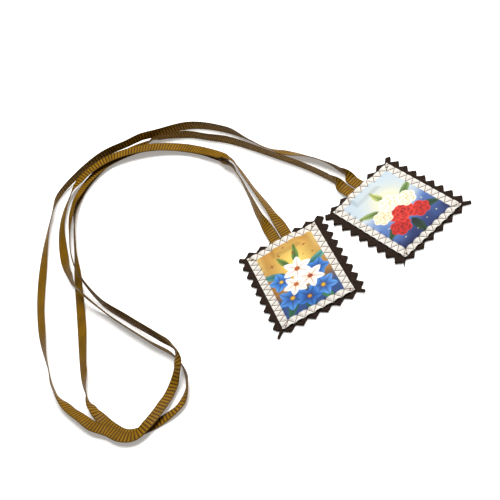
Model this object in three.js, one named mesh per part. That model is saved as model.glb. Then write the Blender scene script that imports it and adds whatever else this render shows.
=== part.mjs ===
// Brown scapular, laid flat: two pinked felt patches, each faced with a cloth panel,
// joined by two long grosgrain ribbons that lie in loose twisted loops.
// Units are millimetres, +Z is up, and the part lies on the plane z = 0.

import * as THREE from "three";

// Patches: the cloth panel's cut, the felt under it and the pinking teeth
const PANEL_WIDTH = 32.5;
const PANEL_HEIGHT = 45.5;
const PANEL_THICKNESS = 1.0;
const PANEL_CELL = 1.5;
// How fast the panel falls away beside the ribbon ends, and its spare height over them
const PANEL_SHOULDER = 1.5;
const PANEL_EASE = 0.25;
const FELT_THICKNESS = 1.2;
const TOOTH_PITCH = 5.5;
const TOOTH_DEPTH = 2.4;
const SEAM_GAP = 0.3;

// Ribbons: 3/16 inch grosgrain, given a wall of 1 mm here
const RIBBON_WIDTH = 4.8;
const RIBBON_THICKNESS = 1.0;
const RIBBON_STEP = 3.0;
const TAIL_UNDER_PANEL = 6.0;
const TAIL_PAST_EDGE = 5.0;
const TAIL_LIFT = FELT_THICKNESS + SEAM_GAP;

// Where each patch lies: its middle, its turn in degrees, and the middle of each ribbon's end
// measured along its top edge. The margins are from the panel's edge out to the tooth tips, and
// each start is from a side's first corner, anticlockwise, to its first tip.
const PATCHES = {
  front: {
    x: 12.6, y: -29.0, turn: -1.5, ribbonLeft: -2.0, ribbonRight: 3.2,
    sides: {
      bottom: { margin: 2.6, start: 2.4 },
      right: { margin: 4.7, start: 2.6 },
      top: { margin: 3.9, start: 3.0 },
      left: { margin: 3.9, start: 3.6 },
    },
  },
  back: {
    x: 60.7, y: -23.8, turn: 17.9, ribbonLeft: 1.0, ribbonRight: -4.3,
    sides: {
      bottom: { margin: 2.3, start: 2.4 },
      right: { margin: 4.1, start: 4.0 },
      top: { margin: 3.7, start: 3.2 },
      left: { margin: 4.4, start: 4.8 },
    },
  },
};

// The free run of each ribbon, from the front patch round to the back one. A row is a place on
// the table (x, y), the height of the ribbon's lower edge above it (lift), and the turn about
// its own length (roll): 0 and -180 lie flat, 90 and -90 stand on edge.
const ROW = ["x", "y", "lift", "roll"];
const LEFT_ROUTE = [
  [10.9, 14, 0.2, -55],
  [11.9, 33.5, 0, -78],
  [12, 48.5, 0, -98],
  [10.6, 56.5, 0, -142],
  [7.2, 68.5, 0, -174],
  [-6.6, 87.5, 0.5, -180],
  [-14.5, 93.2, 1.7, -180],
  [-23.5, 98.3, 1.9, -180],
  [-41, 100.6, 1.7, -180],
  [-55.7, 92.3, 1.6, -168],
  [-63.4, 80, 2.5, -146],
  [-69.6, 64, 0.8, -120],
  [-71.6, 48, 2.9, -110],
  [-71.2, 34, 3.3, -100],
  [-67.3, 16, 0.2, -102],
  [-59, -3, 0, -107],
  [-50.7, -22.5, 2.2, -104],
  [-46.3, -35.3, 5, -97],
  [-47.5, -43.5, 5.2, -152],
  [-53.5, -49, 1.8, -176],
  [-61, -55.6, 2, -185],
  [-68.4, -60.4, 2.6, -184],
  [-75.2, -62, 1.9, -178],
  [-80.3, -59, 1.9, -178],
  [-84.6, -52.5, 1.9, -178],
  [-89.5, -46.4, 2.1, -176],
  [-93.2, -38.2, 1.2, -158],
  [-96.7, -30, 0, -146],
  [-99.6, -18.3, 0, -90],
  [-99, -4, 0, -68],
  [-96, 23, 0, -24],
  [-88.8, 50.7, 0, -12],
  [-75, 84.5, 0, -50],
  [-66, 98.2, 0, -54],
  [-40.5, 106.7, 1.3, -6],
  [-25.7, 104.4, 1.7, -50],
  [-18.3, 103.3, 1.7, -68],
  [-11.2, 101.4, 0.6, -76],
  [4.6, 94.3, 0, -77],
  [18.8, 76.7, 0, -72],
  [25.7, 60.6, 0, -60],
  [29.6, 51.4, 0, -54],
  [35.8, 42.5, 0, -27],
  [46, 26.7, 0, -59],
  [51.4, 12, 0.2, -86],
];
const RIGHT_ROUTE = [
  [16, 14, 0.2, 51],
  [14.6, 35.5, 0, 70],
  [13.6, 50.5, 1.3, 74],
  [11.8, 57.5, 1.9, 44],
  [9.5, 62.5, 2.4, 14],
  [-2.6, 80.8, 2.2, -2],
  [-19.3, 94.6, 3.4, -2],
  [-38, 101.4, 3.6, -2],
  [-53, 98.9, 3.3, 2],
  [-61.6, 93.5, 0.3, 44],
  [-70, 79.5, 0, 33],
  [-75.3, 57.6, 0.2, 14],
  [-75.5, 39.5, 1.8, 50],
  [-73.8, 26, 3.1, 88],
  [-66.3, 5.4, 0, 97],
  [-61.7, -5.4, 0, 99],
  [-54.7, -21.2, 0, 98],
  [-47.6, -36.5, 0, 92],
  [-47.8, -50.8, 0, 58],
  [-54, -58.7, 0, 21],
  [-65.3, -60.4, 0, 4],
  [-75.2, -59, 0, 4],
  [-79.4, -56.2, 0, 3],
  [-82.4, -51.2, 0, 3],
  [-85, -45, 0, 4],
  [-87.2, -37, 0, 50],
  [-87.5, -29.4, 0, 110],
  [-85.4, -15.4, 0, 148],
  [-79.3, 10.7, 0, 167],
  [-73.8, 35.8, 0, 157],
  [-69.4, 55.7, 0, 125],
  [-65, 73, 0, 123],
  [-57.9, 90.6, 0, 170],
  [-39, 103.6, 0, 180],
  [-25.5, 103.4, 0, 178],
  [-18.5, 101.4, 0, 174],
  [-11.3, 98.2, 0, 111],
  [1.6, 89, 0, 96],
  [9.3, 79.4, 0, 97],
  [17.2, 69, 0, 98],
  [31, 43.4, 0, 111],
  [39.4, 26.8, 0, 107],
  [45.8, 11, 0, 86],
];

const FELT_COLOUR = "#2a1b10";
const PANEL_COLOUR = "#fbf6ee";
const RIBBON_COLOUR = "#6b4a20";

const MATERIALS = {
  felt: new THREE.MeshStandardMaterial({ color: FELT_COLOUR, roughness: 0.95, metalness: 0 }),
  panel: new THREE.MeshStandardMaterial({ color: PANEL_COLOUR, roughness: 0.8, metalness: 0 }),
  ribbon: new THREE.MeshStandardMaterial({ color: RIBBON_COLOUR, roughness: 0.6, metalness: 0 }),
};

// A point given along a patch's width and height, as a place on the table
function onTable(patch, along, up) {
  const turn = THREE.MathUtils.degToRad(patch.turn);
  return new THREE.Vector2(along, up).rotateAround(new THREE.Vector2(), turn)
    .add(new THREE.Vector2(patch.x, patch.y));
}

// One side's zigzag, from two teeth before its first corner to two past its last
function zigzag(length, halfDepth, side) {
  const points = [];
  const first = side.start - 2 * TOOTH_PITCH;
  const outer = -halfDepth - side.margin;
  for (let tip = first; tip < length + 2 * TOOTH_PITCH; tip += TOOTH_PITCH) {
    points.push(new THREE.Vector2(tip - length / 2, outer));
    points.push(new THREE.Vector2(tip - length / 2 + TOOTH_PITCH / 2, outer + TOOTH_DEPTH));
  }
  return points;
}

function crossing(a, b, c, d) {
  const ab = b.clone().sub(a);
  const cd = d.clone().sub(c);
  const ac = c.clone().sub(a);
  const cross = ab.cross(cd);
  const alongFirst = ac.cross(cd) / cross;
  const alongSecond = ac.cross(ab) / cross;
  const meets = alongFirst >= 0 && alongFirst <= 1 && alongSecond >= 0 && alongSecond <= 1;
  return meets ? a.clone().addScaledVector(ab, alongFirst) : null;
}

// The felt's outline: the four zigzag cuts, each ended where it meets the next one
function pinkedOutline(patch) {
  const across = [PANEL_WIDTH, PANEL_HEIGHT];
  const lines = ["bottom", "right", "top", "left"].map((name, turn) => {
    const line = zigzag(across[turn % 2], across[(turn + 1) % 2] / 2, patch.sides[name]);
    return line.map((point) => point.rotateAround(new THREE.Vector2(), turn * Math.PI / 2));
  });
  const cuts = lines.map((line, index) => {
    const next = lines[(index + 1) % 4];
    for (let i = 0; i < line.length - 1; i += 1) {
      for (let j = 0; j < next.length - 1; j += 1) {
        const point = crossing(line[i], line[i + 1], next[j], next[j + 1]);
        if (point) return { point, before: i, after: j + 1 };
      }
    }
    throw new Error("Two pinked sides never meet");
  });
  return lines.flatMap((line, index) => {
    const start = cuts[(index + 3) % 4];
    const end = cuts[index];
    return [start.point, ...line.slice(start.after, end.before + 1)];
  });
}

function feltMesh(name, patch) {
  const shape = new THREE.Shape(pinkedOutline(patch));
  const geometry = new THREE.ExtrudeGeometry(shape, { depth: FELT_THICKNESS, bevelEnabled: false });
  const mesh = new THREE.Mesh(geometry, MATERIALS.felt);
  mesh.name = name;
  mesh.position.set(patch.x, patch.y, 0);
  mesh.rotation.z = THREE.MathUtils.degToRad(patch.turn);
  return mesh;
}

// Height of the panel's underside over the felt: it rises over the two ribbon ends and comes
// back down beside them and past their cut ends
function panelRise(patch, along, up) {
  const halfPair = RIBBON_WIDTH + SEAM_GAP;
  const middle = (patch.ribbonLeft + patch.ribbonRight) / 2;
  const beside = Math.abs(along - middle) - halfPair - PANEL_CELL;
  const below = PANEL_HEIGHT / 2 - TAIL_UNDER_PANEL - PANEL_CELL - up;
  const away = Math.max(beside, below, 0);
  const full = RIBBON_THICKNESS + SEAM_GAP + PANEL_EASE;
  return away >= PANEL_SHOULDER ? 0 : full * (1 + Math.cos(Math.PI * away / PANEL_SHOULDER)) / 2;
}

// A closed wall between two grids of the same rows and columns
function wallGeometry(lower, upper) {
  const rows = lower.length;
  const columns = lower[0].length;
  const points = [...lower.flat(), ...upper.flat()];
  const offset = rows * columns;
  const at = (row, column) => row * columns + column;
  const faces = [];
  const quad = (a, b, c, d) => faces.push(a, b, c, a, c, d);
  for (let row = 0; row < rows - 1; row += 1) {
    for (let column = 0; column < columns - 1; column += 1) {
      const corners = [at(row, column), at(row, column + 1), at(row + 1, column + 1), at(row + 1, column)];
      quad(...corners.map((corner) => corner + offset));
      quad(...corners.reverse());
    }
  }
  const rim = [];
  for (let column = 0; column < columns - 1; column += 1) rim.push(at(0, column));
  for (let row = 0; row < rows - 1; row += 1) rim.push(at(row, columns - 1));
  for (let column = columns - 1; column > 0; column -= 1) rim.push(at(rows - 1, column));
  for (let row = rows - 1; row > 0; row -= 1) rim.push(at(row, 0));
  rim.forEach((corner, index) => {
    const next = rim[(index + 1) % rim.length];
    quad(corner, next, next + offset, corner + offset);
  });
  const geometry = new THREE.BufferGeometry().setFromPoints(points);
  geometry.setIndex(faces);
  return geometry;
}

function panelMesh(name, patch) {
  const columns = Math.round(PANEL_WIDTH / PANEL_CELL);
  const rows = Math.round(PANEL_HEIGHT / PANEL_CELL);
  const grid = (height) => Array.from({ length: rows + 1 }, (_, row) => (
    Array.from({ length: columns + 1 }, (__, column) => {
      const along = (column / columns - 0.5) * PANEL_WIDTH;
      const up = (row / rows - 0.5) * PANEL_HEIGHT;
      return new THREE.Vector3(along, up, height + panelRise(patch, along, up));
    })
  ));
  const base = FELT_THICKNESS + SEAM_GAP;
  const mesh = new THREE.Mesh(wallGeometry(grid(base), grid(base + PANEL_THICKNESS)), MATERIALS.panel);
  mesh.name = name;
  mesh.position.set(patch.x, patch.y, 0);
  mesh.rotation.z = THREE.MathUtils.degToRad(patch.turn);
  return mesh;
}

// The two straight rows that carry a ribbon's end under a panel and out past the felt
function tail(patch, along, roll) {
  return [PANEL_HEIGHT / 2 + TAIL_PAST_EDGE, PANEL_HEIGHT / 2 - TAIL_UNDER_PANEL].map((up) => {
    const place = onTable(patch, along, up);
    return { x: place.x, y: place.y, lift: TAIL_LIFT, roll };
  });
}

function wholeRoute(table, side, lastRoll) {
  const free = table.map((row) => Object.fromEntries(ROW.map((column, index) => [column, row[index]])));
  const start = tail(PATCHES.front, PATCHES.front[side], 0).reverse();
  return [...start, ...free, ...tail(PATCHES.back, PATCHES.back[side], lastRoll)];
}

// A ribbon: a rectangle carried along a smooth curve through the route's rows
function ribbonMesh(name, route) {
  const halfWidth = RIBBON_WIDTH / 2;
  const halfThickness = RIBBON_THICKNESS / 2;
  const floor = new THREE.CatmullRomCurve3(
    route.map(({ x, y, lift }) => new THREE.Vector3(x, y, lift)), false, "centripetal",
  );
  const rows = route.length - 1;
  const rollAt = (share) => {
    const row = Math.min(Math.floor(share * rows), rows - 1);
    const part = share * rows - row;
    const ease = part * part * (3 - 2 * part);
    return THREE.MathUtils.degToRad(THREE.MathUtils.lerp(route[row].roll, route[row + 1].roll, ease));
  };
  const spine = (share) => {
    const roll = rollAt(share);
    const point = floor.getPoint(share);
    const reach = halfWidth * Math.abs(Math.sin(roll)) + halfThickness * Math.abs(Math.cos(roll));
    point.z = Math.max(point.z, 0) + reach;
    return point;
  };
  const count = Math.round(floor.getLength() / RIBBON_STEP);
  const rings = [];
  for (let step = 0; step <= count; step += 1) {
    const share = floor.getUtoTmapping(step / count);
    const near = 0.0005;
    const along = spine(Math.min(share + near, 1)).sub(spine(Math.max(share - near, 0))).normalize();
    const left = new THREE.Vector3(-along.y, along.x, 0).normalize();
    const up = new THREE.Vector3().crossVectors(along, left);
    const roll = rollAt(share);
    const across = left.clone().multiplyScalar(Math.cos(roll)).addScaledVector(up, Math.sin(roll));
    const face = new THREE.Vector3().crossVectors(along, across);
    const centre = spine(share);
    rings.push([[1, -1], [1, 1], [-1, 1], [-1, -1]].map(([side, layer]) => (
      centre.clone().addScaledVector(across, side * halfWidth).addScaledVector(face, layer * halfThickness)
    )));
  }
  const faces = [];
  for (let ring = 0; ring < count; ring += 1) {
    for (let corner = 0; corner < 4; corner += 1) {
      const a = ring * 4 + corner;
      const b = ring * 4 + (corner + 1) % 4;
      faces.push(a, b + 4, a + 4, a, b, b + 4);
    }
  }
  const last = count * 4;
  faces.push(0, 2, 1, 0, 3, 2, last, last + 1, last + 2, last, last + 2, last + 3);
  const geometry = new THREE.BufferGeometry().setFromPoints(rings.flat());
  geometry.setIndex(faces);
  const mesh = new THREE.Mesh(geometry, MATERIALS.ribbon);
  mesh.name = name;
  return mesh;
}

const scapular = new THREE.Group();
scapular.add(feltMesh("felt_front", PATCHES.front));
scapular.add(panelMesh("panel_front", PATCHES.front));
scapular.add(feltMesh("felt_back", PATCHES.back));
scapular.add(panelMesh("panel_back", PATCHES.back));
scapular.add(ribbonMesh("ribbon_left", wholeRoute(LEFT_ROUTE, "ribbonLeft", -180)));
scapular.add(ribbonMesh("ribbon_right", wholeRoute(RIGHT_ROUTE, "ribbonRight", 0)));

// The origin is the middle of what the part covers, on the table
const footprint = new THREE.Box3().setFromObject(scapular).getCenter(new THREE.Vector3());
scapular.position.set(-footprint.x, -footprint.y, 0);

export default scapular;
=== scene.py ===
"""A small cloth scapular laid flat on a table: two pinked felt patches, a printed cloth panel
sewn on each with a zigzag stitch, and the two grosgrain ribbons that join them.

Run it from Blender's text editor or with blender --background --python scene.py.
Everything is in metres, with +Z up and the table at z = 0.
"""

import math

import bmesh
import bpy
import numpy as np
from mathutils import Matrix, Vector, noise


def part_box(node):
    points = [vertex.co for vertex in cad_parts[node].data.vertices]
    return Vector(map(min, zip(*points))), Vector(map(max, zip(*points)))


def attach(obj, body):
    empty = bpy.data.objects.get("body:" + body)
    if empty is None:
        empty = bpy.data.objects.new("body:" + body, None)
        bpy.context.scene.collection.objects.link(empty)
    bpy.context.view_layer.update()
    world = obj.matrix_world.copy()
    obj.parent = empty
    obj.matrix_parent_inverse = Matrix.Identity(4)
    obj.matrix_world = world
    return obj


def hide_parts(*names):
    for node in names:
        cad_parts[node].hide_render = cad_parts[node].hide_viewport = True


bl_info = {
    "name": "Cloth Scapular",
    "version": (1, 0, 0),
    "blender": (4, 5, 0),
    "location": "View3D > Sidebar > Scapular",
    "description": "Builds a felt and ribbon scapular that lies flat on a table",
    "category": "Add Mesh",
}

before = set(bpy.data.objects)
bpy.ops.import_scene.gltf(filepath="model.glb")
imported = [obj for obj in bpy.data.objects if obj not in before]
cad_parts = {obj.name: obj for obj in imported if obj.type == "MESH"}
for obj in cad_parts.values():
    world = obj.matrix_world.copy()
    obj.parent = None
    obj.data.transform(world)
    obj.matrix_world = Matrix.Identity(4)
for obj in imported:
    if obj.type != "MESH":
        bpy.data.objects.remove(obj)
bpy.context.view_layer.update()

# Without a seed, noise vectors start from the clock and differ from run to run
NOISE_SEED = 11
noise.seed_set(NOISE_SEED)

# Sizes that the pieces share
MM = 0.001
PANEL_WIDTH = 32.5 * MM
PANEL_HEIGHT = 45.5 * MM
FELT_THICKNESS = 1.2 * MM
TOOTH_PITCH = 5.5 * MM
TOOTH_DEPTH = 2.4 * MM
TAIL_UNDER_PANEL = 6.0 * MM
TAIL_PAST_EDGE = 5.0 * MM
TAIL_LIFT = 1.5 * MM

# Where each patch lies: its middle on the table, its turn in degrees, the middle of each
# ribbon's end along its top edge and the width of the panel's white border. Each side, in the
# order bottom, right, top, left, gives how far its tooth tips stand out from the panel, how far
# its first tip lies from its first corner, and its stitches' pitch.
PATCHES = {
    "front": {
        "middle": (12.6 * MM, -29.0 * MM),
        "turn": -1.5,
        "ribbons": (-2.0 * MM, 3.2 * MM),
        "border": 3.1 * MM,
        "sides": (
            (2.6 * MM, 2.4 * MM, 4.1 * MM),
            (4.7 * MM, 2.6 * MM, 3.9 * MM),
            (3.9 * MM, 3.0 * MM, 3.8 * MM),
            (3.9 * MM, 3.6 * MM, 3.4 * MM),
        ),
    },
    "back": {
        "middle": (60.7 * MM, -23.8 * MM),
        "turn": 17.9,
        "ribbons": (1.0 * MM, -4.3 * MM),
        "border": 2.9 * MM,
        "sides": (
            (2.3 * MM, 2.4 * MM, 3.6 * MM),
            (4.1 * MM, 4.0 * MM, 3.9 * MM),
            (3.7 * MM, 3.2 * MM, 3.6 * MM),
            (4.4 * MM, 4.8 * MM, 3.9 * MM),
        ),
    },
}

# How far the point that the patches and routes count from lies from the part's own origin
PANEL_LOW, PANEL_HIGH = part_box("panel_front")
TABLE_SHIFT = np.array((PANEL_LOW + PANEL_HIGH) / 2)[:2] - PATCHES["front"]["middle"]

# The free run of each ribbon, from the front patch round to the back one: a place on the table
# (x, y), the height of the ribbon's lower edge, and the turn about its own length in degrees
LEFT_ROUTE = (
    (0.0109, 0.014, 0.0002, -55),
    (0.0119, 0.0335, 0, -78),
    (0.012, 0.0485, 0, -98),
    (0.0106, 0.0565, 0, -142),
    (0.0072, 0.0685, 0, -174),
    (-0.0066, 0.0875, 0.0005, -180),
    (-0.0145, 0.0932, 0.0017, -180),
    (-0.0235, 0.0983, 0.0019, -180),
    (-0.041, 0.1006, 0.0017, -180),
    (-0.0557, 0.0923, 0.0016, -168),
    (-0.0634, 0.08, 0.0025, -146),
    (-0.0696, 0.064, 0.0008, -120),
    (-0.0716, 0.048, 0.0029, -110),
    (-0.0712, 0.034, 0.0033, -100),
    (-0.0673, 0.016, 0.0002, -102),
    (-0.059, -0.003, 0, -107),
    (-0.0507, -0.0225, 0.0022, -104),
    (-0.0463, -0.0353, 0.005, -97),
    (-0.0475, -0.0435, 0.0052, -152),
    (-0.0535, -0.049, 0.0018, -176),
    (-0.061, -0.0556, 0.002, -185),
    (-0.0684, -0.0604, 0.0026, -184),
    (-0.0752, -0.062, 0.0019, -178),
    (-0.0803, -0.059, 0.0019, -178),
    (-0.0846, -0.0525, 0.0019, -178),
    (-0.0895, -0.0464, 0.0021, -176),
    (-0.0932, -0.0382, 0.0012, -158),
    (-0.0967, -0.03, 0, -146),
    (-0.0996, -0.0183, 0, -90),
    (-0.099, -0.004, 0, -68),
    (-0.096, 0.023, 0, -24),
    (-0.0888, 0.0507, 0, -12),
    (-0.075, 0.0845, 0, -50),
    (-0.066, 0.0982, 0, -70),
    (-0.0405, 0.1067, 0.0013, -80),
    (-0.0257, 0.1044, 0.0017, -82),
    (-0.0183, 0.1033, 0.0017, -86),
    (-0.0112, 0.1014, 0.0006, -91),
    (0.0046, 0.0943, 0, -94),
    (0.0188, 0.0767, 0, -90),
    (0.0257, 0.0606, 0, -66),
    (0.0296, 0.0514, 0, -54),
    (0.0358, 0.0425, 0, -27),
    (0.046, 0.0267, 0, -59),
    (0.0514, 0.012, 0.0002, -86),
)
RIGHT_ROUTE = (
    (0.016, 0.014, 0.0002, 51),
    (0.0146, 0.0355, 0, 70),
    (0.0136, 0.0505, 0.0013, 74),
    (0.0118, 0.0575, 0.0019, 44),
    (0.0095, 0.0625, 0.0024, 14),
    (-0.0026, 0.0808, 0.0022, -2),
    (-0.0193, 0.0946, 0.0034, -2),
    (-0.038, 0.1014, 0.0036, -2),
    (-0.053, 0.0989, 0.0033, 2),
    (-0.0616, 0.0935, 0.0003, 44),
    (-0.07, 0.0795, 0, 33),
    (-0.0753, 0.0576, 0.0002, 14),
    (-0.0755, 0.0395, 0.0018, 50),
    (-0.0738, 0.026, 0.0031, 88),
    (-0.0663, 0.0054, 0, 97),
    (-0.0617, -0.0054, 0, 99),
    (-0.0547, -0.0212, 0, 98),
    (-0.0476, -0.0365, 0, 92),
    (-0.0478, -0.0508, 0, 58),
    (-0.054, -0.0587, 0, 21),
    (-0.0653, -0.0604, 0, 4),
    (-0.0752, -0.059, 0, 4),
    (-0.0794, -0.0562, 0, 3),
    (-0.0824, -0.0512, 0, 3),
    (-0.085, -0.045, 0, 4),
    (-0.0872, -0.037, 0, 50),
    (-0.0875, -0.0294, 0, 110),
    (-0.0854, -0.0154, 0, 148),
    (-0.0793, 0.0107, 0, 167),
    (-0.0738, 0.0358, 0, 157),
    (-0.0694, 0.0557, 0, 125),
    (-0.065, 0.073, 0, 123),
    (-0.0579, 0.0906, 0, 170),
    (-0.039, 0.1036, 0, 180),
    (-0.0255, 0.1034, 0, 178),
    (-0.0185, 0.1014, 0, 174),
    (-0.0113, 0.0982, 0, 111),
    (0.0016, 0.089, 0, 89),
    (0.0093, 0.0794, 0, 90),
    (0.0172, 0.069, 0, 84),
    (0.031, 0.0434, 0, 92),
    (0.0394, 0.0268, 0, 90),
    (0.0458, 0.011, 0, 86),
)

# How a ribbon's way is walked: the points that measure it, and the share of it on each side of
# a point that gives its direction there
ROUTE_POINTS = 8000
ROUTE_NEAR = 0.0005

# How the felt is formed: its lumps and fuzz, their height and how far they shift its edge, and
# how far its underside stands off the table, so that the lower thread has room
FELT_LUMP = 1.3 * MM
FELT_FUZZ = 0.5 * MM
FELT_RISE = 0.10 * MM
FELT_SHIFT = 0.8
FELT_GROOVE = 0.14 * MM
FELT_LOWEST = 0.02 * MM

# How the panels lie: their mesh cells, the gaps to the felt and to the ribbon ends, the fall
# beside those ends, the puffs between stitches, which grow by a share near the bottom edge, the
# slow ripple of the cloth and the fray of its cut edge
PANEL_CELL = 0.25 * MM
PANEL_CLEARANCE = 0.12 * MM
PANEL_OVER_RIBBON = 0.45 * MM
PANEL_BESIDE_RIBBON = 0.3 * MM
PANEL_FALL = 2.5 * MM
PANEL_PUFF = 0.38 * MM
PANEL_PUFF_REACH = 1.2 * MM
PANEL_LOWER_PUFF = 0.6
PANEL_LOWER_EDGE = 6 * MM
PANEL_LOWER_FADE = 3 * MM
PANEL_RIPPLE = 0.20 * MM
PANEL_RIPPLE_SIZE = 6 * MM
PANEL_FRAY = 0.12 * MM
PANEL_FRAY_SIZE = 2.5 * MM

# The zigzag: where it starts from a corner, how far its outer holes lie from the panel's edge,
# how far a needle hole strays, and how far and over what share of a leg the thread dives into it
STITCH_SEED = 7
STITCH_CORNER = 1.3 * MM
STITCH_INSET = 0.25 * MM
STITCH_STRAY = 0.12 * MM
STITCH_DIVE = 0.45 * MM
STITCH_DIVE_SHARE = 0.14
THREAD_STEPS = 10
THREAD_SIDES = 6
THREAD_STANDS_OUT = 0.7

# The few crossed stitches at each corner: how many, how far in from both edges, how far each
# reaches from its middle and how far that middle strays
CORNER_STITCHES = 3
CORNER_INSET = 1.6 * MM
CORNER_REACH = 0.7 * MM
CORNER_STRAY = 0.25 * MM

# A needle hole in the panel: its brown spot and the soft rim round that
HOLE_RADIUS = 0.15 * MM
HOLE_RIM = 0.3 * MM
HOLE_COLOUR = "#3a2010"

# The soft rim of the whole print, the soft rim of its shapes in millimetres, the power that
# deepens its inks, and a rose's rings of petals: how far out they lie and how large they are, as
# shares of the rose's radius, and how many
PRINT_EDGE = 0.3 * MM
PRINT_SOFT = 0.35
PRINT_DEPTH = 1.7
ROSE_RINGS = ((0.62, 0.46, 6), (0.40, 0.42, 5), (0.22, 0.34, 4), (0.06, 0.24, 2))

# The camera's place: its height over the table and its roll in degrees, how far it stands from
# the spot that it looks at, and its lens in millimetres
CAMERA_ELEVATION = 43.0
CAMERA_ROLL = -29.8
CAMERA_DISTANCE = 0.5548
CAMERA_LENS = 93.6

# The studio: each light's direction from the part, its distance and size in metres and its
# power in watts, then the light from all round and from below the table's top
KEY_LIGHT = ((0.30, 0.30, 1.0), 1.0, 0.7, 18.0)
FILL_LIGHT = ((-0.3, -0.9, 1.3), 1.2, 1.0, 0.5)
WORLD_STRENGTH = 0.13
FLOOR_GLOW = 0.35
FLOOR_SIZE = 4.0

# A ribbon's section, one row for each corner: how far across, how far out of the middle, and
# how much of a rib's height it takes. The selvedges stay plain.
SECTION = (
    (1.00, 0.00, 0.0), (0.97, 0.85, 0.0), (0.86, 1.00, 0.2), (0.70, 0.95, 0.9),
    (0.25, 0.95, 1.0), (-0.25, 0.95, 1.0), (-0.70, 0.95, 0.9), (-0.86, 1.00, 0.2),
    (-0.97, 0.85, 0.0), (-1.00, 0.00, 0.0), (-0.97, -0.85, 0.0), (-0.86, -1.00, 0.2),
    (-0.70, -0.95, 0.9), (-0.25, -0.95, 1.0), (0.25, -0.95, 1.0), (0.70, -0.95, 0.9),
    (0.86, -1.00, 0.2), (0.97, -0.85, 0.0),
)
# The rings of the sweep that make one rib
STEPS_A_RIB = 4

# The print on the front panel, in millimetres from its middle: petals and leaves as place,
# length, width, turn in degrees, root colour and tip colour
FRONT_LEAVES = (
    (0, -8, 17, 4.5, 262, "#2c5a55", "#3f7f6a"), (3, -9, 15, 4.0, 292, "#2f6650", "#6aa07a"),
    (-4, -8, 15, 4.2, 238, "#28544f", "#4b8a72"), (5, 2, 12, 3.6, 20, "#3d7f86", "#8cc0b4"),
    (-5, 3, 12, 3.6, 158, "#35707c", "#7db4ac"), (1, 6, 11, 3.0, 75, "#4a7a52", "#9db36a"),
    (-2, 6, 9, 2.6, 112, "#47734b", "#a6b76a"),
)
# Flowers as place, petals, length, width, first petal's turn, root, tip and heart colour
FRONT_FLOWERS = (
    (-7.0, -10.5, 6, 6.6, 4.2, 10, "#1f5c97", "#7fb4e4", "#f0cf5a"),
    (6.5, -12.0, 6, 6.4, 4.0, 35, "#255f9c", "#8dbdea", "#f0cf5a"),
    (-0.5, -14.0, 5, 5.6, 4.0, 50, "#1c4f88", "#5f9fd8", "#e9b94a"),
    (-8.0, 0.5, 5, 5.6, 4.0, 20, "#2a6aa8", "#84b9e6", "#f4da70"),
    (8.0, -1.5, 5, 5.4, 4.0, 60, "#235f9e", "#79b0e2", "#f4da70"),
    (-3.0, -4.5, 6, 6.0, 3.4, 0, "#f3d7c6", "#fffaf2", "#d9923a"),
    (3.6, -4.0, 6, 6.6, 3.6, 28, "#f0cdbd", "#fffdf8", "#c9762f"),
    (0.4, 3.2, 6, 6.8, 3.6, 12, "#f4dccb", "#ffffff", "#d68b35"),
)
FRONT_STARS = (
    (-8.5, 11.0, 1.5), (-4.0, 14.6, 1.2), (2.0, 12.6, 1.6), (7.6, 14.0, 1.3), (9.4, 8.2, 1.2),
    (-10.2, 6.4, 1.0), (-0.8, 17.0, 1.0), (5.4, 9.2, 0.9),
)

# The print on the back panel: roses as place, radius, dark and light colour
BACK_LEAVES = (
    (-3, -6, 12, 4.2, 205, "#27443a", "#5d7f55"), (4, -7, 12, 4.2, 330, "#223f3c", "#55795a"),
    (0, -10, 11, 3.8, 262, "#1e3a3a", "#4c7152"), (-5, 4, 10, 3.4, 150, "#6d8a5c", "#b9c48a"),
    (6, 3, 10, 3.4, 25, "#5d7f58", "#a9bc84"), (0, 7, 9, 3.0, 95, "#8da06a", "#d5d79a"),
)
BACK_ROSES = (
    (-5.8, -9.6, 4.4, "#8e1410", "#e8564a"), (5.6, -9.0, 4.2, "#9a1712", "#ea6152"),
    (-0.2, -3.6, 5.4, "#a0150f", "#f0715f"), (-6.6, 0.8, 4.0, "#d9b98c", "#fffaf0"),
    (6.4, 0.4, 4.2, "#dcbf96", "#fffdf6"), (0.2, 4.6, 4.4, "#e2c79e", "#fffefa"),
)
BACK_STARS = (
    (-8.6, -15.2, 0.9), (8.8, -15.6, 1.0), (-2.6, -16.4, 0.8), (3.6, -15.4, 0.9),
    (-9.6, -6.0, 0.8), (10.0, -5.2, 0.8),
)


def to_linear(code):
    """An sRGB hex colour as linear red, green, blue and alpha."""
    shares = [int(code[start:start + 2], 16) / 255 for start in (1, 3, 5)]
    lit = [
        share / 12.92 if share <= 0.04045 else ((share + 0.055) / 1.055) ** 2.4 for share in shares
    ]
    return (*lit, 1.0)


def shaded(colour, share):
    """A colour made darker or lighter by a share."""
    return (*[min(channel * share, 1.0) for channel in colour[:3]], 1.0)


def length_property(name, description, default):
    """A length that a user may change, in metres."""
    return bpy.props.FloatProperty(
        name=name, description=description, default=default, unit="LENGTH", precision=5, min=0.0,
    )


def colour_property(name, description, code):
    """A colour that a user may change, from its sRGB code."""
    return bpy.props.FloatVectorProperty(
        name=name, description=description, default=to_linear(code), size=4, subtype="COLOR",
        min=0.0, max=1.0,
    )


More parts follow.
